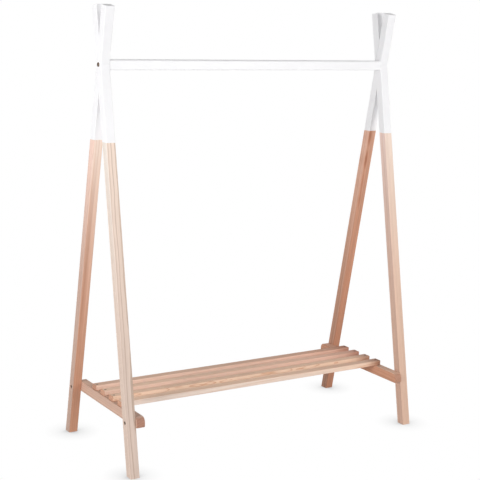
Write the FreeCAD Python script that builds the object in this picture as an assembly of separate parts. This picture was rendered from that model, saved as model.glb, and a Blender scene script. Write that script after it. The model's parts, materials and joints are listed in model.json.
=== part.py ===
import FreeCAD, Part
import math
import os
from FreeCAD import Placement, Rotation, Vector

# Knock-down clothes rack: two end frames of crossed legs, a hanging rail bolted between the
# crossings, and a slatted shelf on two bearers bolted to the inner faces of the legs.
# Millimetres. X runs along the rail, Y from front to back, Z up from the floor.

# End frames
rack_width = 1160.0  # over the outer faces of the two frames
crossing_height = 1310.0  # floor to the bolt where two legs cross
foot_spread = 490.0  # between the two leg centre lines of a frame, at the floor
leg_section = 32.0  # the legs are square
horn_length = 190.3  # along a leg, from the crossing bolt up to its square-cut top
leg_edge_round = 2.0
leg_top_chamfer = 1.0
lap_side_gap = 0.1  # each side of a leg in the notch of the leg that it crosses

# Hanging rail
rail_height = 34.0
rail_depth = 32.0
rail_top_round = 6.0  # hangers slide over the rounded top edges
rail_bottom_round = 3.0

# Shelf
shelf_height = 211.0  # floor to the top of the slats
bearer_height = 34.0
bearer_thickness = 30.0
bearer_end_proud = 7.0  # of the leg faces, at the middle of the bearer's height
bearer_top_corner = 18.0  # the upper corners of the ends are well rounded
bearer_low_corner = 3.0
bearer_edge_chamfer = 1.0
slat_count = 4
slat_pitch = 66.0
slat_width = 32.0
slat_thickness = 18.0
slat_edge_round = 2.5
slat_end_chamfer = 1.5
slat_end_inset = 4.0  # from the outer face of the bearer to the end of the slat

# Bolts, with a hexagon socket in a flat head
bolt_diameter = 6.0
bolt_head_chamfer = 0.8
socket_across_flats = 4.0
socket_depth = 2.5
bolt_hole_gap = 0.5  # round the shank, in the wood
bolt_end_room = 2.0  # past the tip of a bolt, in its hole
thread_gap = 0.3  # round the shank, in a nut

# The head of a rail bolt is wide and thin, and bears on the face of the leg
rail_bolt_head_diameter = 14.0
rail_bolt_head_height = 2.5

# The head of a bearer bolt sits below the face of the leg
bearer_bolt_head_diameter = 12.0
bearer_bolt_head_height = 4.0
bearer_bolt_recess = 1.0
counterbore_gap = 0.4  # round the head

# Barrel nuts, pushed up into the rail from below
nut_setback = 35.0  # from the end of the rail to the axis of the nut
nut_diameter = 10.0
nut_cover = 7.0  # wood above the nut, and its recess below
nut_slot_width = 1.6
nut_slot_depth = 2.0
bolt_past_nut = 8.0  # from the axis of the nut to the tip of the bolt

# Insert nuts, screwed into the outer faces of the bearers
insert_diameter = 10.0
insert_backing = 8.0  # wood left behind the hole
insert_end_room = 6.0  # from the end of the nut to the end of the hole
metal_fit_gap = 0.25  # round the barrel nuts and insert nuts, in the wood

# Slat screws, countersunk
screw_diameter = 4.0
screw_head_diameter = 8.0
screw_recess = 0.4  # from the face of the slat down to the head
screw_point = 5.0  # length of the tapered tip
screw_floor = 11.0  # wood left under the tip
screw_gap = 0.25
screw_end_room = 0.5
cross_width = 1.0  # cross recess in the head
cross_span = 4.6
cross_depth = 1.4

# Places that follow from the sizes
lean = math.atan2(foot_spread / 2, crossing_height)
outer_face = rack_width / 2
inner_face = outer_face - leg_section
lap_face = outer_face - leg_section / 2
below_crossing = crossing_height / math.cos(lean)
leg_length = below_crossing + horn_length
counterbore_depth = bearer_bolt_recess + bearer_bolt_head_height
bearer_top = shelf_height - slat_thickness
bolt_height = bearer_top - bearer_height / 2
bolt_spread = (crossing_height - bolt_height) * math.tan(lean)
bearer_half_length = bolt_spread + leg_section / 2 / math.cos(lean) + bearer_end_proud
insert_hole_depth = bearer_thickness - insert_backing
slat_half_length = inner_face - slat_end_inset
screw_bite = bearer_height - screw_floor
screw_places = [(number - (slat_count - 1) / 2) * slat_pitch for number in range(slat_count)]
screw_line = inner_face - bearer_thickness / 2

ALONG = Vector(1, 0, 0)
UP = Vector(0, 0, 1)
DOWN = Vector(0, 0, -1)
SIDES = {"left": -1, "right": 1}
ENDS = {"front": -1, "back": 1}
PARALLEL = 0.999  # cosine of the angle between an edge and an axis that it runs along
IN_PLANE = 0.001
nodes = {}


def rod(diameter, length, start, direction):
    """A plain cylinder from a start point."""
    return Part.makeCylinder(diameter / 2, length, start, direction)


def turned(profile):
    """A solid of revolution about Z from (radius, height) points."""
    points = [Vector(radius, 0, height) for radius, height in profile]
    outline = Part.makePolygon(points + [points[0]])
    return Part.Face(outline).revolve(Vector(0, 0, 0), UP, 360)


def set_at(shape, position, axis):
    """The shape with its own Z axis turned to the given axis, at a position."""
    placed = shape.copy()
    placed.Placement = Placement(position, Rotation(UP, axis))
    return placed


def edges_along(edges, axis):
    """Those of some edges that run along an axis."""
    return [edge for edge in edges if abs(edge.tangentAt(edge.FirstParameter).dot(axis)) > PARALLEL]


def edges_at(solid, axis, place):
    """The edges of a solid that lie in the plane square to an axis, at a place along that axis."""
    found = []
    for edge in solid.Edges:
        middle = edge.valueAt((edge.FirstParameter + edge.LastParameter) / 2)
        points = [vertex.Point for vertex in edge.Vertexes] + [middle]
        if all(abs(point.dot(axis) - place) < IN_PLANE for point in points):
            found.append(edge)
    return found


def inward(side):
    """The direction from an end frame towards the middle of the rack."""
    return Vector(-side, 0, 0)


def frame_turn(end):
    """Turns an upright leg to its lean about the crossing. A leg is named for where its foot stands."""
    return Placement(Vector(0, 0, crossing_height), Rotation(Vector(1, 0, 0), math.degrees(end * lean)))


def leg_blank(side, end):
    """A leaning leg with eased edges, before its joints are cut."""
    spare = leg_section  # below the floor, cut away with the foot
    middle = side * lap_face
    corner = Vector(middle - leg_section / 2, -leg_section / 2, -below_crossing - spare)
    bar = Part.makeBox(leg_section, leg_section, leg_length + spare, corner)
    bar = bar.makeFillet(leg_edge_round, edges_along(bar.Edges, UP))
    bar = bar.makeChamfer(leg_top_chamfer, edges_at(bar, UP, horn_length))
    bar.Placement = frame_turn(end)
    reach = 2 * (foot_spread + leg_section)
    floor_corner = Vector(middle - reach / 2, -reach / 2, -reach)
    return bar.cut(Part.makeBox(reach, reach, reach, floor_corner))


def lap_notch(side, end, outside):
    """The room for the crossing leg: half the leg's thickness, on its outer or its inner half."""
    width = leg_section + 2 * lap_side_gap
    length = 4 * leg_section / math.sin(2 * lean)
    depth = leg_section
    middle = side * (lap_face + (depth / 2 if outside else -depth / 2))
    notch = Part.makeBox(depth, width, length, Vector(middle - depth / 2, -width / 2, -length / 2))
    notch.Placement = frame_turn(-end)
    return notch


def rail_bolt_hole(side):
    """The plain hole for the rail bolt, through both legs of a frame."""
    start = Vector(side * outer_face, 0, crossing_height)
    return rod(bolt_diameter + 2 * bolt_hole_gap, leg_section, start, inward(side))


def bearer_bolt_hole(side, end):
    """The counterbored hole for a bearer bolt through a leg, from the outer face."""
    start = Vector(side * outer_face, end * bolt_spread, bolt_height)
    counterbore = rod(bearer_bolt_head_diameter + 2 * counterbore_gap, counterbore_depth, start, inward(side))
    shank_hole = rod(bolt_diameter + 2 * bolt_hole_gap, leg_section, start, inward(side))
    return counterbore.fuse(shank_hole)


def make_leg(side, end):
    """A front leg is notched on its inner half and a back leg on its outer half, so they lie flush."""
    notched_outside = end == ENDS["back"]
    leg = leg_blank(side, end).cut(lap_notch(side, end, notched_outside))
    return leg.cut(rail_bolt_hole(side)).cut(bearer_bolt_hole(side, end))


def make_rail():
    """The rail with its rounded edges, bored at each end for a bolt and from below for its nut."""
    low = crossing_height - rail_height / 2
    rail = Part.makeBox(2 * inner_face, rail_depth, rail_height, Vector(-inner_face, -rail_depth / 2, low))
    for height, radius in ((low + rail_height, rail_top_round), (low, rail_bottom_round)):
        rail = rail.makeFillet(radius, edges_along(edges_at(rail, UP, height), ALONG))
    hole_depth = nut_setback + bolt_past_nut + bolt_end_room
    nut_hole_depth = rail_height - nut_cover
    for side in SIDES.values():
        bolt_hole_start = Vector(side * inner_face, 0, crossing_height)
        rail = rail.cut(rod(bolt_diameter + 2 * bolt_hole_gap, hole_depth, bolt_hole_start, inward(side)))
        nut_hole_start = Vector(side * (inner_face - nut_setback), 0, low)
        rail = rail.cut(rod(nut_diameter + 2 * metal_fit_gap, nut_hole_depth, nut_hole_start, UP))
    return rail


def rounded_bar_profile(half_length, low, high, low_corner, high_corner):
    """A face in the YZ plane: an oblong with its own radius at the lower and the upper corners."""
    diagonal = math.sqrt(0.5)
    lines = []
    corners = [
        (half_length, low, low_corner, 1, -1),
        (half_length, high, high_corner, 1, 1),
        (-half_length, high, high_corner, -1, 1),
        (-half_length, low, low_corner, -1, -1),
    ]
    arcs = []
    for y, z, radius, out_y, out_z in corners:
        centre = Vector(0, y - out_y * radius, z - out_z * radius)
        flat_end = centre + Vector(0, 0, out_z * radius)
        upright_end = centre + Vector(0, out_y * radius, 0)
        middle = centre + Vector(0, out_y * radius * diagonal, out_z * radius * diagonal)
        ends = [flat_end, upright_end] if out_y * out_z < 0 else [upright_end, flat_end]
        arcs.append((ends[0], middle, ends[1]))
    for arc, following in zip(arcs, arcs[1:] + arcs[:1]):
        lines.append(Part.Arc(*arc).toShape())
        lines.append(Part.LineSegment(arc[2], following[0]).toShape())
    return Part.Face(Part.Wire(lines))


def make_bearer(side):
    """A bearer against the inner faces of its two legs, with holes for the insert nuts and the screws."""
    low = bearer_top - bearer_height
    face = rounded_bar_profile(bearer_half_length, low, bearer_top, bearer_low_corner, bearer_top_corner)
    face.translate(Vector(side * inner_face, 0, 0))
    bearer = face.extrude(inward(side) * bearer_thickness)
    for face_place in (inner_face, inner_face - bearer_thickness):
        bearer = bearer.makeChamfer(bearer_edge_chamfer, edges_at(bearer, ALONG, side * face_place))
    for end in ENDS.values():
        start = Vector(side * inner_face, end * bolt_spread, bolt_height)
        nut_depth = insert_hole_depth - insert_end_room
        nut_hole = rod(insert_diameter + 2 * metal_fit_gap, nut_depth, start, inward(side))
        tip_hole = rod(bolt_diameter + 2 * bolt_hole_gap, insert_hole_depth, start, inward(side))
        bearer = bearer.cut(nut_hole.fuse(tip_hole))
    for y in screw_places:
        start = Vector(side * screw_line, y, bearer_top)
        bearer = bearer.cut(rod(screw_diameter + 2 * screw_gap, screw_bite + screw_end_room, start, DOWN))
    return bearer


def screw_sink(side, y):
    """The clearance hole and countersink for one screw in a slat."""
    top = Vector(side * screw_line, y, shelf_height)
    rim_radius = screw_head_diameter / 2 + screw_gap + screw_recess
    shank_radius = screw_diameter / 2 + screw_gap
    cone = Part.makeCone(rim_radius, shank_radius, rim_radius - shank_radius, top, DOWN)
    return cone.fuse(rod(2 * shank_radius, slat_thickness, top, DOWN))


def make_slat(y):
    """A slat with eased edges and a countersunk hole over each bearer."""
    corner = Vector(-slat_half_length, y - slat_width / 2, bearer_top)
    slat = Part.makeBox(2 * slat_half_length, slat_width, slat_thickness, corner)
    slat = slat.makeFillet(slat_edge_round, edges_along(slat.Edges, ALONG))
    for side in SIDES.values():
        slat = slat.makeChamfer(slat_end_chamfer, edges_at(slat, ALONG, side * slat_half_length))
        slat = slat.cut(screw_sink(side, y))
    return slat


def make_bolt(head_diameter, head_height, length):
    """A bolt along Z from the top of its head, with a hexagon socket. Its length is that of the shank."""
    head_radius = head_diameter / 2
    radius = bolt_diameter / 2
    tip = head_height + length
    bolt = turned(
        [
            (0, 0),
            (head_radius - bolt_head_chamfer, 0),
            (head_radius, bolt_head_chamfer),
            (head_radius, head_height),
            (radius, head_height),
            (radius, tip),
            (0, tip),
        ]
    )
    corner_radius = socket_across_flats / 2 / math.cos(math.pi / 6)
    angles = [number * math.pi / 3 for number in range(7)]
    hexagon = [Vector(corner_radius * math.cos(a), corner_radius * math.sin(a), 0) for a in angles]
    socket = Part.Face(Part.makePolygon(hexagon)).extrude(Vector(0, 0, socket_depth))
    return bolt.cut(socket)


def make_rail_bolt(side):
    length = leg_section + nut_setback + bolt_past_nut
    bolt = make_bolt(rail_bolt_head_diameter, rail_bolt_head_height, length)
    start = Vector(side * (outer_face + rail_bolt_head_height), 0, crossing_height)
    return set_at(bolt, start, inward(side))


def make_bearer_bolt(side, end):
    length = leg_section - counterbore_depth + insert_hole_depth - bolt_end_room
    bolt = make_bolt(bearer_bolt_head_diameter, bearer_bolt_head_height, length)
    start = Vector(side * (outer_face - bearer_bolt_recess), end * bolt_spread, bolt_height)
    return set_at(bolt, start, inward(side))


def make_barrel_nut(side):
    """A steel barrel across the bolt, with a slot in its lower end to turn it by."""
    length = rail_height - 2 * nut_cover
    low = Vector(side * (inner_face - nut_setback), 0, crossing_height - length / 2)
    barrel = rod(nut_diameter, length, low, UP)
    thread_start = low + Vector(-nut_diameter, 0, length / 2)
    thread = rod(bolt_diameter + 2 * thread_gap, 2 * nut_diameter, thread_start, ALONG)
    slot_corner = low + Vector(-nut_diameter, -nut_slot_width / 2, 0)
    slot = Part.makeBox(2 * nut_diameter, nut_slot_width, nut_slot_depth, slot_corner)
    return barrel.cut(thread).cut(slot)


def make_insert_nut(side, end):
    """A threaded sleeve, flush with the outer face of the bearer."""
    start = Vector(side * inner_face, end * bolt_spread, bolt_height)
    length = insert_hole_depth - insert_end_room
    sleeve = rod(insert_diameter, length, start, inward(side))
    return sleeve.cut(rod(bolt_diameter + 2 * thread_gap, length, start, inward(side)))


def make_screw():
    """A countersunk screw along Z from the top of its head."""
    head_radius = screw_head_diameter / 2
    radius = screw_diameter / 2
    tip = slat_thickness - screw_recess + screw_bite
    screw = turned(
        [
            (0, 0),
            (head_radius, 0),
            (radius, head_radius - radius),
            (radius, tip - screw_point),
            (0, tip),
        ]
    )
    for length, width in ((cross_span, cross_width), (cross_width, cross_span)):
        slot = Part.makeBox(length, width, cross_depth, Vector(-length / 2, -width / 2, 0))
        screw = screw.cut(slot)
    return screw


def make_screws(side):
    """The screws of all the slats over one bearer."""
    height = shelf_height - screw_recess
    screws = [set_at(make_screw(), Vector(side * screw_line, y, height), DOWN) for y in screw_places]
    return Part.makeCompound(screws)


nodes["hanging_rail"] = make_rail()
for number, place in enumerate(screw_places, start=1):
    nodes[f"shelf_slat_{number}"] = make_slat(place)
for side_name, side in SIDES.items():
    nodes[f"{side_name}_shelf_bearer"] = make_bearer(side)
    nodes[f"{side_name}_rail_bolt"] = make_rail_bolt(side)
    nodes[f"{side_name}_rail_barrel_nut"] = make_barrel_nut(side)
    nodes[f"{side_name}_slat_screws"] = make_screws(side)
    for end_name, end in ENDS.items():
        nodes[f"{end_name}_{side_name}_leg"] = make_leg(side, end)
        nodes[f"{end_name}_{side_name}_bearer_bolt"] = make_bearer_bolt(side, end)
        nodes[f"{end_name}_{side_name}_insert_nut"] = make_insert_nut(side, end)

os.makedirs("parts", exist_ok=True)
for name, shape in nodes.items():
    shape.exportStep(f"parts/{name}.step")
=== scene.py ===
import json
import math

import bpy
from mathutils import Matrix, Vector


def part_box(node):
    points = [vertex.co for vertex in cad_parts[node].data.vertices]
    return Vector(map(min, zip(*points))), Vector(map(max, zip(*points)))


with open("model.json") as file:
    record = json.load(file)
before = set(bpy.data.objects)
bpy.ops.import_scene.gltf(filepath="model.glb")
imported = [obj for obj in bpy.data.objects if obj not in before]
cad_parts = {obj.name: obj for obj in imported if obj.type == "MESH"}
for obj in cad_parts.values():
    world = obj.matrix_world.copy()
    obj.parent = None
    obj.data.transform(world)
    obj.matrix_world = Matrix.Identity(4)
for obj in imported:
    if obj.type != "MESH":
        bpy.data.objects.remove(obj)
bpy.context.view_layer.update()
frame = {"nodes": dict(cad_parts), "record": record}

# The dressed clothes rack: bare pine legs and shelf, white paint on the rail and down to a level line
# on the legs, brown bolts and dark screws, on a white floor in soft light.
# Places are in metres, in the rack's own frame. Patterns are in millimetres.

rail_low, rail_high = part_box("hanging_rail")
crossing_height = (rail_low.z + rail_high.z) / 2
foot_places = {
    mount["name"]: Vector(mount["pos_m"])
    for mount in frame["record"]["mounts"]
    if mount["name"].endswith("_foot")
}
MM = 0.001
ALONG = Vector((1, 0, 0))
ACROSS = Vector((0, 1, 0))
UP = Vector((0, 0, 1))

# The height at which the white paint on the legs ends
PAINT_LINE = 1.066

# A board bends light alike whether it is bare or painted: wood and acrylic differ little in that
BOARD_IOR = 1.5

# Sockets of the Mix node, for plain values and for colours
MIX_FROM, MIX_TO = 2, 3
MIX_A, MIX_B, MIX_COLOUR = 6, 7, 2


def linear(hex_colour):
    """The linear colour of an sRGB hex value."""
    channels = [int(hex_colour[place : place + 2], 16) / 255 for place in (1, 3, 5)]
    return (*[c / 12.92 if c <= 0.04045 else ((c + 0.055) / 1.055) ** 2.4 for c in channels], 1.0)


def add(tree, kind, inputs=None, ramp=None, **settings):
    """Adds a node with its settings. Each input is a value, or the socket that feeds it."""
    node = tree.nodes.new("ShaderNode" + kind)
    for name, value in settings.items():
        setattr(node, name, value)
    for socket, value in (inputs or {}).items():
        if isinstance(value, bpy.types.NodeSocket):
            tree.links.new(value, node.inputs[socket])
        else:
            node.inputs[socket].default_value = value
    if ramp:
        stops = node.color_ramp.elements
        for stop, (place, value) in zip(stops, (ramp[0], ramp[-1])):
            stop.position = place
            stop.color = (value, value, value, 1)
        for place, value in ramp[1:-1]:
            stops.new(place).color = (value, value, value, 1)
    return node


def new_material(name):
    """An empty material, its tree and its surface shader."""
    material = bpy.data.materials.new(name)
    material.use_nodes = True
    return material, material.node_tree, material.node_tree.nodes["Principled BSDF"]


def finish_surface(tree, surface, colour, roughness, height_mm):
    """Feeds a surface its colour, its roughness and a relief in millimetres."""
    bump = add(tree, "Bump", {"Height": height_mm, "Distance": MM})
    feeds = {"Base Color": colour, "Roughness": roughness, "Normal": bump.outputs[0]}
    for socket, feed in feeds.items():
        tree.links.new(feed, surface.inputs[socket])


# Pine

# Where the pith of the tree lay from the middle of each board, the width of its growth rings, how far
# the rings ripple, the slope at which the grain runs out of line, and a number that sets the board apart
# from the others. The second slat holds its pith, so its faces lie flat to the rings and the ripples turn
# into flames.
GRAIN = {
    "front_left_leg": ((24, -56), 5.2, 1.5, 0.006, 1),
    "back_left_leg": ((-62, -40), 7.0, 1.5, 0.012, 2),
    "front_right_leg": ((50, -48), 5.0, 1.5, 0.006, 3),
    "back_right_leg": ((-54, 30), 6.5, 1.5, 0.012, 4),
    "left_shelf_bearer": ((16, 48), 6.0, 1.5, 0.010, 5),
    "right_shelf_bearer": ((-50, 34), 6.0, 1.5, 0.014, 6),
    "shelf_slat_1": ((20, -70), 5.5, 1.5, 0.008, 7),
    "shelf_slat_2": ((-2, 3), 2.6, 7.0, 0.001, 8),
    "shelf_slat_3": ((42, 26), 5.5, 1.5, 0.009, 9),
    "shelf_slat_4": ((-56, 38), 6.0, 1.5, 0.010, 10),
    "hanging_rail": ((30, 30), 6.0, 1.5, 0.010, 11),
}

# Soft patterns in the wood: their size across and along the grain, a number that keeps one from following
# another, and how finely they break up. Real fibres are far finer, and wouldn't show.
FIGURES = {
    "wave": (90, 500, 0, 2),
    "ripple": (40, 70, 40, 1),
    "streak": (14, 600, 20, 2),
    "fibre": (1.1, 80, 0, 3),
}

# How far the rings swing about in slow waves
WAVE_SWING = 14

# Faster and slower growth comes in runs of about so many rings, and moves a ring on by up to so many
GROWTH_RUN = 5
GROWTH_SHIFT = 3.0

# How late wood comes up slowly through a year and ends sharply, and how weak it is in the weakest year
LATE_WOOD_BAND = [(0, 0), (0.6, 0.1), (0.85, 0.75), (0.94, 1), (1, 0)]
WEAKEST_RING = 0.35

# Early wood of pine, from the palest sapwood to the heartwood
PINE = {
    "chalk": "#F9F0E7",
    "cream": "#FAE5D6",
    "ivory": "#F0DCCE",
    "straw": "#FAD7BC",
    "blush": "#F7DCD1",
    "flax": "#F3D1B7",
    "shell": "#F3D4C6",
    "wheat": "#F1CEBA",
    "peach": "#F3C6B0",
    "oat": "#DFC9BB",
    "sand": "#E1BDA6",
    "drift": "#D2B09D",
    "ash": "#C4A696",
    "honey": "#DBA98F",
    "clay": "#CC9C83",
    "rose": "#CE987B",
    "russet": "#C68C6E",
}

# The tones of each bare board at the start and at the end of its length: on its faces, which are front and
# back on a leg and top and bottom on the shelf, and on its two sides. A leg starts at its foot, a bearer at
# its front and a slat at its left. On a leg the darker tone toward the foot is partly the pine's own colour
# and partly painted shade, for light that falls off toward the floor. Then the late wood, and how strong the
# rings and the streaks are.
BOARD_TONES_AND_LEG_SHADE = {
    "front_left_leg": (("oat", "cream"), ("oat", "chalk"), "grey", 1.0, 0.4),
    "back_left_leg": (("rose", "cream"), ("ash", "shell"), "tan", 0.5, 0.3),
    "front_right_leg": (("sand", "cream"), ("drift", "blush"), "tan", 0.5, 0.4),
    "back_right_leg": (("russet", "honey"), ("clay", "peach"), "tan", 0.7, 0.8),
    "left_shelf_bearer": (("drift", "sand"), ("drift", "drift"), "tan", 0.7, 0.5),
    "right_shelf_bearer": (("sand", "honey"), ("rose", "rose"), "tan", 0.7, 0.5),
    "shelf_slat_1": (("flax", "sand"), ("ivory", "straw"), "tan", 0.6, 0.4),
    "shelf_slat_2": (("flax", "flax"), ("straw", "straw"), "tan", 1.0, 0.3),
    "shelf_slat_3": (("flax", "peach"), ("wheat", "peach"), "tan", 0.6, 0.4),
    "shelf_slat_4": (("sand", "honey"), ("wheat", "peach"), "tan", 0.6, 0.4),
}

# The tone of the start holds for most of a board: it changes with this power of the way along. On a leg
# that tone at the foot holds painted shade as well as the pine's own colour.
TONE_AND_LEG_SHADE_DRIFT = 2.5

# How squarely a spot faces sideways or along the grain, from where it starts to count as side or as end
# grain to where it does in full
SIDE_FACING = (0.5, 0.9)
END_FACING = (0.2, 0.7)

# Colours that darken the early wood where they lie over it: late wood, end grain, marks, and the right
# ends of the slats over their last stretch
LATE_WOOD = {"tan": "#D9B598", "grey": "#C6B6A6"}
END_GRAIN = "#D9C2B8"
MARK_BROWN = "#C4946F"
SLAT_BUTT = "#C9B1A8"
SLAT_BUTT_LENGTH = 70

# Dark marks of resin and heartwood, which run along the grain of the back legs. For each mark: how far to
# the right of the leg's middle and how high it lies, its half width and half length, and its strength.
MARKS = {
    "back_right_leg": [
        (-8, 1044, 9, 45, 0.65),
        (-9, 955, 8, 45, 0.7),
        (-9, 865, 7, 50, 0.4),
        (-8, 800, 7, 45, 0.4),
    ],
    "back_left_leg": [(-7, 640, 11, 360, 0.35)],
}

# Where a mark starts to fade and where it is gone, as shares of its half size
MARK_FADE = (0.2, 1.2)

# Noise seldom leaves this range, and it is spread over these shades of the tone, from dark to light. A
# board's streak share weakens its streaks.
NOISE_RANGE = (0.3, 0.7)
STREAK_DARKENS, STREAK_LIGHTENS = 0.25, 0.1
FIBRE_SHADES = (0.94, 1.05)

# How far fibres and late wood stand proud, and the roughness of early and of late wood
FIBRE_RELIEF = 0.06
LATE_WOOD_RELIEF = 0.05
PINE_ROUGHNESS = (0.66, 0.54)


def grain_direction(node):
    """The long way of a board: a leg's runs from its foot to the crossing."""
    if node.endswith("_leg"):
        foot = foot_places[node.replace("_leg", "_foot")]
        return (Vector((foot.x, 0, crossing_height)) - foot).normalized()
    return ACROSS if node.endswith("_bearer") else ALONG


def board_place(tree, node):
    """A place in a board, in millimetres from its pith, with the grain along Z."""
    pith, _, ripple_swing, run_out, _ = GRAIN[node]
    low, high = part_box(node)
    leaned = (grain_direction(node) + run_out * (ALONG + ACROSS + UP)).normalized()
    turn = leaned.rotation_difference(UP)
    # noise lies between nought and one, so half of each swing is taken off again
    half_swing = (WAVE_SWING + ripple_swing) / 2
    pith_place = Vector((pith[0] + half_swing, pith[1] + half_swing, 0))
    place = {
        "Vector": add(tree, "TexCoord").outputs["Object"],
        "Location": -(turn @ (low + high)) / (2 * MM) - pith_place,
        "Rotation": turn.to_euler(),
        "Scale": (1 / MM,) * 3,
    }
    return add(tree, "Mapping", place).outputs[0]


def figure(tree, node, board, name):
    """One of the soft patterns in a board, stretched along its grain."""
    across, along, apart, detail = FIGURES[name]
    squeeze = (1 / across, 1 / across, 1 / along)
    spot = add(tree, "VectorMath", {0: board, 1: squeeze}, operation="MULTIPLY").outputs[0]
    noise = {"Vector": spot, "W": GRAIN[node][-1] + apart, "Scale": 1, "Detail": detail}
    return add(tree, "TexNoise", noise, noise_dimensions="4D").outputs


def late_wood_share(tree, node, board):
    """The share of late wood in growth rings round the pith, as a solid pattern: faces, edges and ends agree.

    The rings are drawn two or three times as wide as in slow-grown pine, because finer ones would run
    together in a picture of the whole rack."""
    _, ring_width, ripple_swing, _, _ = GRAIN[node]
    bent = board
    for name, swing in (("wave", WAVE_SWING), ("ripple", ripple_swing)):
        bend = {0: figure(tree, node, board, name)["Color"], 1: (swing, swing, 0), 2: bent}
        bent = add(tree, "VectorMath", bend, operation="MULTIPLY_ADD").outputs[0]
    level = add(tree, "VectorMath", {0: bent, 1: (1, 1, 0)}, operation="MULTIPLY").outputs[0]
    radius = add(tree, "VectorMath", {0: level}, operation="LENGTH").outputs["Value"]

    # years of faster and slower growth
    runs = add(tree, "Math", {0: radius, 1: 1 / (GROWTH_RUN * ring_width)}, operation="MULTIPLY").outputs[0]
    growth = add(tree, "TexNoise", {"W": runs, "Scale": 1, "Detail": 1}, noise_dimensions="1D").outputs["Fac"]
    even = add(tree, "Math", {0: radius, 1: 1 / ring_width}, operation="MULTIPLY").outputs[0]
    rings = add(tree, "Math", {0: growth, 1: GROWTH_SHIFT, 2: even}, operation="MULTIPLY_ADD").outputs[0]
    season = add(tree, "Math", {0: rings}, operation="FRACT").outputs[0]
    year = add(tree, "Math", {0: rings}, operation="FLOOR").outputs[0]
    chance = add(tree, "TexWhiteNoise", {"W": year}, noise_dimensions="1D").outputs["Value"]
    strength = add(tree, "MapRange", {"Value": chance, "To Min": WEAKEST_RING}).outputs[0]
    band = add(tree, "ValToRGB", {"Fac": season}, ramp=LATE_WOOD_BAND).outputs["Color"]
    return add(tree, "Math", {0: band, 1: strength}, operation="MULTIPLY").outputs[0]


def pine_grain(tree, node):
    """The place in a board, its share of late wood and its fibres."""
    board = board_place(tree, node)
    return board, late_wood_share(tree, node, board), figure(tree, node, board, "fibre")["Fac"]


def facing_share(tree, way, start, full):
    """How squarely a spot faces a way or its opposite, from nought at the start to one in full."""
    normal = add(tree, "NewGeometry").outputs["Normal"]
    towards = add(tree, "VectorMath", {0: normal, 1: way}, operation="DOT_PRODUCT").outputs["Value"]
    either_way = add(tree, "Math", {0: towards}, operation="ABSOLUTE").outputs[0]
    return add(tree, "MapRange", {"Value": either_way, "From Min": start, "From Max": full}).outputs[0]


def mark_share(tree, spot, middle, right, height, half_width, half_length, strength):
    """How dark a mark in a leg is at a spot: strongest in its middle, with a soft edge all round."""
    away = add(tree, "VectorMath", {0: spot, 1: (middle + right * MM, 0, height * MM)}, operation="SUBTRACT")
    half_sizes = (1 / (half_width * MM), 0, 1 / (half_length * MM))
    reach = add(tree, "VectorMath", {0: away.outputs[0], 1: half_sizes}, operation="MULTIPLY")
    distance = add(tree, "VectorMath", {0: reach.outputs[0]}, operation="LENGTH").outputs["Value"]
    start, gone = MARK_FADE
    fade = {"Value": distance, "From Min": start, "From Max": gone, "To Min": strength, "To Max": 0}
    return add(tree, "MapRange", fade, interpolation_type="SMOOTHSTEP").outputs[0]


def pine_colour(tree, node, board, late_share, fibre):
    """The colour of bare pine, from pale sapwood to rosy heartwood, with its rings, streaks and fibres.

    Faces and sides are cut differently through the rings, so they differ in tone. End grain is darker
    and redder, because its open pores take the light in. A leg darkens toward its foot partly in its own
    tone and partly as painted shade, for light that falls off toward the floor."""
    face_tones, side_tones, late_wood, ring_share, streak_share = BOARD_TONES_AND_LEG_SHADE[node]
    grain = grain_direction(node)
    low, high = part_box(node)
    axis = max(range(3), key=lambda way: grain[way])
    bare_end = PAINT_LINE if node.endswith("_leg") else high[axis]
    spot = add(tree, "TexCoord").outputs["Object"]
    along = add(tree, "SeparateXYZ", {0: spot}).outputs[axis]
    share = add(tree, "MapRange", {"Value": along, "From Min": low[axis], "From Max": bare_end}).outputs[0]
    ahead = add(tree, "Math", {0: share, 1: TONE_AND_LEG_SHADE_DRIFT}, operation="POWER").outputs[0]
    side = facing_share(tree, ACROSS if grain == ALONG else ALONG, *SIDE_FACING)
    end = facing_share(tree, grain, *END_FACING)

    # early wood, on the faces and on the sides; on a leg its darker foot is partly painted shade
    cuts = []
    for first, last in (face_tones, side_tones):
        drift = {0: ahead, MIX_A: linear(PINE[first]), MIX_B: linear(PINE[last])}
        cuts.append(add(tree, "Mix", drift, data_type="RGBA").outputs[MIX_COLOUR])
    tone = add(tree, "Mix", {0: side, MIX_A: cuts[0], MIX_B: cuts[1]}, data_type="RGBA").outputs[MIX_COLOUR]

    # what darkens it
    rings = add(tree, "Math", {0: late_share, 1: ring_share}, operation="MULTIPLY").outputs[0]
    stains = [(rings, LATE_WOOD[late_wood]), (end, END_GRAIN)]
    if grain == ALONG:
        butt = {"Value": along, "From Min": bare_end - SLAT_BUTT_LENGTH * MM, "From Max": bare_end}
        stains.append((add(tree, "MapRange", butt).outputs[0], SLAT_BUTT))
    for mark in MARKS.get(node, []):
        stains.append((mark_share(tree, spot, (low.x + high.x) / 2, *mark), MARK_BROWN))
    for strength, stain in stains:
        stained = {0: strength, MIX_A: tone, MIX_B: linear(stain)}
        tone = add(tree, "Mix", stained, data_type="RGBA", blend_type="MULTIPLY").outputs[MIX_COLOUR]

    # streaks and fibres, darker and lighter
    streak = figure(tree, node, board, "streak")["Fac"]
    streak_shades = (1 - STREAK_DARKENS * streak_share, 1 + STREAK_LIGHTENS * streak_share)
    least, most = NOISE_RANGE
    for noise, (dark, light) in ((streak, streak_shades), (fibre, FIBRE_SHADES)):
        spread = {"Value": noise, "From Min": least, "From Max": most, "To Min": dark, "To Max": light}
        shade = add(tree, "MapRange", spread).outputs[0]
        tone = add(tree, "VectorMath", {0: tone, "Scale": shade}, operation="SCALE").outputs[0]
    return tone


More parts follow.
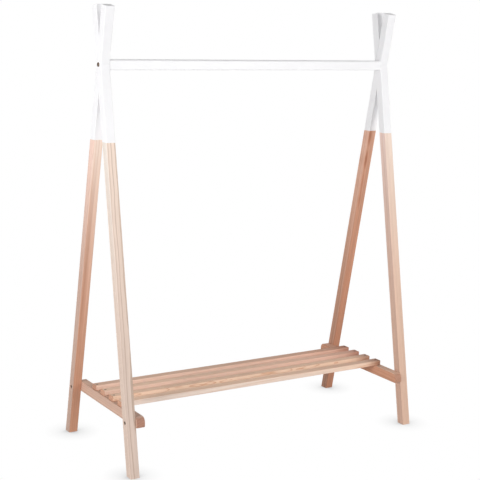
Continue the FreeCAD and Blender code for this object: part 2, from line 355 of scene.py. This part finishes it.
def pine_relief(tree, late_share, fibre):
    """Planing and sanding leave the hard late wood a little proud, and the fibres felt but hardly seen."""
    fibres = add(tree, "Math", {0: fibre, 1: FIBRE_RELIEF}, operation="MULTIPLY").outputs[0]
    ridges = {0: late_share, 1: LATE_WOOD_RELIEF, 2: fibres}
    return add(tree, "Math", ridges, operation="MULTIPLY_ADD").outputs[0]


def pine_roughness(tree, late_share):
    """Bare sanded pine is matt, with the dense late wood a little smoother."""
    early, late = PINE_ROUGHNESS
    return add(tree, "MapRange", {"Value": late_share, "To Min": early, "To Max": late}).outputs[0]


def bare_pine(node):
    """Pine, planed and sanded and left bare: warm, matt, with the rings in plain view."""
    material, tree, surface = new_material("planed_pine_" + node)
    board, late_share, fibre = pine_grain(tree, node)
    surface.inputs["IOR"].default_value = BOARD_IOR
    finish_surface(
        tree,
        surface,
        pine_colour(tree, node, board, late_share, fibre),
        pine_roughness(tree, late_share),
        pine_relief(tree, late_share, fibre),
    )
    return material


# White paint

PAINT_WHITE = "#F6F6F7"
PAINT_SHADE = "#F1F0F2"
PAINT_ROUGHNESS = (0.34, 0.42)

# The thickness of the film, the width and the height of its orange peel, and the width of the clouds in
# which its white and its sheen vary
PAINT_FILM = 0.12
PEEL_SIZE = 1.6
PEEL_HEIGHT = 0.012
CLOUD_SIZE = 70

# The share of the wood's relief that shows through the film
SHOW_THROUGH = 0.1

# The masked edge: the length of its waves, how far they can go, and the height over which it blurs
EDGE_WAVE = 5
EDGE_WANDER = 0.6
EDGE_BLUR = 0.4


def paint_film(tree, late_share, fibre):
    """Sprayed satin acrylic: a cool even white with a fine orange peel, and the wood below as faint relief.

    Returns its colour, its roughness and its relief."""
    spot = add(tree, "TexCoord").outputs["Object"]
    peel, cloud = [
        add(tree, "TexNoise", {"Vector": spot, "Scale": 1 / (size * MM), "Detail": 2}).outputs["Fac"]
        for size in (PEEL_SIZE, CLOUD_SIZE)
    ]
    whites = {0: cloud, MIX_A: linear(PAINT_WHITE), MIX_B: linear(PAINT_SHADE)}
    colour = add(tree, "Mix", whites, data_type="RGBA").outputs[MIX_COLOUR]
    glossier, duller = PAINT_ROUGHNESS
    roughness = add(tree, "MapRange", {"Value": cloud, "To Min": glossier, "To Max": duller}).outputs[0]
    peel_height = add(tree, "Math", {0: peel, 1: PEEL_HEIGHT}, operation="MULTIPLY").outputs[0]
    layers = {0: pine_relief(tree, late_share, fibre), 1: SHOW_THROUGH, 2: peel_height}
    return colour, roughness, add(tree, "Math", layers, operation="MULTIPLY_ADD").outputs[0]


def painted_pine(node):
    """Pine painted all over in satin white."""
    material, tree, surface = new_material("white_painted_pine_" + node)
    _, late_share, fibre = pine_grain(tree, node)
    surface.inputs["IOR"].default_value = BOARD_IOR
    finish_surface(tree, surface, *paint_film(tree, late_share, fibre))
    return material


def white_topped_pine(node):
    """A leg: satin white down to a level masked line, where the film ends in a step, and bare pine below."""
    material, tree, surface = new_material("white_topped_pine_" + node)
    board, late_share, fibre = pine_grain(tree, node)
    wood_colour = pine_colour(tree, node, board, late_share, fibre)
    paint_colour, paint_roughness, paint_height = paint_film(tree, late_share, fibre)
    surface.inputs["IOR"].default_value = BOARD_IOR

    # the masked edge wanders a little
    spot = add(tree, "TexCoord").outputs["Object"]
    height = add(tree, "SeparateXYZ", {0: spot}).outputs["Z"]
    creep = add(tree, "TexNoise", {"Vector": spot, "Scale": 1 / (EDGE_WAVE * MM), "Detail": 1}).outputs["Fac"]
    wandered = add(tree, "Math", {0: creep, 1: EDGE_WANDER * MM, 2: height}, operation="MULTIPLY_ADD")
    edge = {"Value": wandered.outputs[0], "From Min": PAINT_LINE, "From Max": PAINT_LINE + EDGE_BLUR * MM}
    painted = add(tree, "MapRange", edge).outputs[0]

    colour = add(tree, "Mix", {0: painted, MIX_A: wood_colour, MIX_B: paint_colour}, data_type="RGBA")
    sheens = {0: painted, MIX_FROM: pine_roughness(tree, late_share), MIX_TO: paint_roughness}
    roughness = add(tree, "Mix", sheens)
    film = add(tree, "Math", {0: paint_height, 1: PAINT_FILM}, operation="ADD").outputs[0]
    relief = add(tree, "Mix", {0: painted, MIX_FROM: pine_relief(tree, late_share, fibre), MIX_TO: film})
    finish_surface(tree, surface, colour.outputs[MIX_COLOUR], roughness.outputs[0], relief.outputs[0])
    return material


# Steel

# The finish of each kind of fastener: its material, the colour where it is thick and where it is thin, and
# its roughness. Bronzing is dark brown, phosphate is a dark brown-grey and zinc is a pale grey.
FASTENER_FINISHES = {
    "bolt": ("bronzed_bolt_steel", "#645447", "#7E6C5E", 0.42),
    "screws": ("phosphate_screw_steel", "#332D28", "#4C443C", 0.45),
    "nut": ("zinc_nut_steel", "#A9ACB2", "#C4C7CC", 0.34),
}

# The width of the thin places, and the width and height of the grain, which is drawn coarse enough to show
THIN_PLACE = 3
STEEL_GRAIN = 0.4
STEEL_GRAIN_HEIGHT = 0.01

# How much smoother and how much rougher the grain makes it
STEEL_SMOOTHER, STEEL_ROUGHER = 0.06, 0.08


def fastener_steel(name, thick, thin, roughness):
    """Steel, cold formed and given a thin finish: a fine dull grain, lighter where the finish is thin."""
    material, tree, surface = new_material(name)
    spot = add(tree, "TexCoord").outputs["Object"]
    wear, grain = [
        add(tree, "TexNoise", {"Vector": spot, "Scale": 1 / (size * MM), "Detail": detail}).outputs["Fac"]
        for size, detail in ((THIN_PLACE, 3), (STEEL_GRAIN, 2))
    ]
    colour = add(tree, "Mix", {0: wear, MIX_A: linear(thick), MIX_B: linear(thin)}, data_type="RGBA")
    sheens = {"Value": grain, "To Min": roughness - STEEL_SMOOTHER, "To Max": roughness + STEEL_ROUGHER}
    gloss = add(tree, "MapRange", sheens)
    height = add(tree, "Math", {0: grain, 1: STEEL_GRAIN_HEIGHT}, operation="MULTIPLY")
    surface.inputs["Metallic"].default_value = 1.0
    finish_surface(tree, surface, colour.outputs[MIX_COLOUR], gloss.outputs[0], height.outputs[0])
    return material


def dress_rack():
    """Gives every piece its finish. Fasteners of one kind share theirs, and every board has its own."""
    steels = {kind: fastener_steel(*finish) for kind, finish in FASTENER_FINISHES.items()}
    for node, piece in frame["nodes"].items():
        kind = node.split("_")[-1]
        if kind in steels:
            finish = steels[kind]
        elif kind == "leg":
            finish = white_topped_pine(node)
        elif kind == "rail":
            finish = painted_pine(node)
        else:
            finish = bare_pine(node)
        piece.data.materials.clear()
        piece.data.materials.append(finish)


# Floor and light

WHITE = "#FFFFFF"
FLOOR_WHITE = "#E8E8E8"
FLOOR_RADIUS = 6.0
FLOOR_SIDES = 96

# The contact shadow: how far it reaches, how deep it is, and which way a spot of the floor looks for the
# feet. It looks up and to the front, so that most of the shadow falls behind them.
SHADOW_REACH = 0.09
SHADOW_DEPTH = 0.75
SHADOW_LEAN = Vector((-0.25, -0.6, 0.76))
SHADOW_SAMPLES = 16

# The strength of the even light from all round, where a white background has one
ROOM_LIGHT = 0.3


def white_floor():
    """A matt white floor. It is seen as plain white, with a soft contact shadow round each foot."""
    bpy.ops.mesh.primitive_circle_add(vertices=FLOOR_SIDES, radius=FLOOR_RADIUS, fill_type="NGON")
    floor = bpy.context.object
    floor.name = "white_floor"
    material, tree, _ = new_material("matt_white_floor")
    tree.nodes.clear()
    matt = add(tree, "BsdfDiffuse", {"Color": linear(FLOOR_WHITE)}).outputs[0]
    look = {"Distance": SHADOW_REACH, "Normal": SHADOW_LEAN}
    open_sky = add(tree, "AmbientOcclusion", look, samples=SHADOW_SAMPLES).outputs["AO"]
    shadow = add(tree, "Math", {0: open_sky, 1: SHADOW_DEPTH}, operation="POWER").outputs[0]
    white = add(tree, "Emission", {"Color": linear(WHITE), "Strength": shadow}).outputs[0]
    ground = add(tree, "MixShader", {0: seen_rays(tree), 1: matt, 2: white}).outputs[0]
    add(tree, "OutputMaterial", {"Surface": ground})
    floor.data.materials.append(material)


def seen_rays(tree):
    """One for rays that see a background directly, in a gloss or through glass, and nought for light."""
    path = add(tree, "LightPath").outputs
    seen = path["Is Camera Ray"]
    for ray in ("Is Glossy Ray", "Is Transmission Ray"):
        seen = add(tree, "Math", {0: seen, 1: path[ray]}, operation="MAXIMUM").outputs[0]
    return seen


def white_room():
    """A white background, with a low even light from all round."""
    world = bpy.data.worlds.new("white_room")
    bpy.context.scene.world = world
    world.use_nodes = True
    tree = world.node_tree
    tree.nodes.clear()
    ambient = add(tree, "Background", {"Color": linear(WHITE), "Strength": ROOM_LIGHT}).outputs[0]
    white = add(tree, "Background", {"Color": linear(WHITE), "Strength": 1.0}).outputs[0]
    mixed = add(tree, "MixShader", {0: seen_rays(tree), 1: ambient, 2: white}).outputs[0]
    add(tree, "OutputWorld", {"Surface": mixed})


# Each softbox: its place, the point that it faces, its width and height, and its power in watts.
SOFTBOXES = {
    "left_softbox": ((-4.0, -1.5, 1.5), (-0.1, 0.0, 1.1), (1.6, 1.6), 108),
    "front_softbox": ((1.6, -3.2, 1.5), (0.1, 0.0, 1.1), (1.6, 1.6), 55),
    "back_softbox": ((2.9, 3.2, 0.65), (0.1, 0.0, 0.75), (1.6, 1.1), 60),
}


def soft_light():
    """Three lamps: the strongest at the left, one at the front right and one behind."""
    for name, (place, target, size, power) in SOFTBOXES.items():
        lamp = bpy.data.lights.new(name, "AREA")
        lamp.shape = "RECTANGLE"
        lamp.size, lamp.size_y = size
        lamp.energy = power
        softbox = bpy.data.objects.new(name, lamp)
        softbox.location = place
        softbox.rotation_mode = "QUATERNION"
        softbox.rotation_quaternion = (Vector(target) - Vector(place)).to_track_quat("-Z", "Y")
        softbox.visible_camera = False
        # the one behind only fills the shade: it leaves no shine on the slats
        softbox.visible_glossy = name != "back_softbox"
        bpy.context.scene.collection.objects.link(softbox)


# Camera

# Its place, its turns in degrees, its lens and sensor in millimetres, and how far the picture is shifted up,
# as a share of its width
CAMERA_PLACE = (-2.2, -3.462, 1.481)
CAMERA_YAW, CAMERA_PITCH, CAMERA_ROLL = 32.12, -11.54, 1.7
CAMERA_LENS = 88.3
CAMERA_SENSOR = 36.0
CAMERA_RAISE = 0.03


def photo_camera():
    """A camera to the front left, at about the height of the leg tops, that looks slightly down."""
    camera = bpy.data.cameras.new("photo_camera")
    camera.sensor_width = CAMERA_SENSOR
    camera.lens = CAMERA_LENS
    camera.shift_y = CAMERA_RAISE
    holder = bpy.data.objects.new("photo_camera", camera)
    heading = Matrix.Rotation(math.radians(-CAMERA_YAW), 4, "Z")
    tilt = Matrix.Rotation(math.radians(90 + CAMERA_PITCH), 4, "X")
    roll = Matrix.Rotation(math.radians(CAMERA_ROLL), 4, "Z")
    holder.matrix_world = Matrix.Translation(CAMERA_PLACE) @ heading @ tilt @ roll
    bpy.context.scene.collection.objects.link(holder)
    bpy.context.scene.camera = holder


dress_rack()
white_floor()
white_room()
soft_light()
photo_camera()
bpy.context.scene.view_settings.view_transform = "Standard"
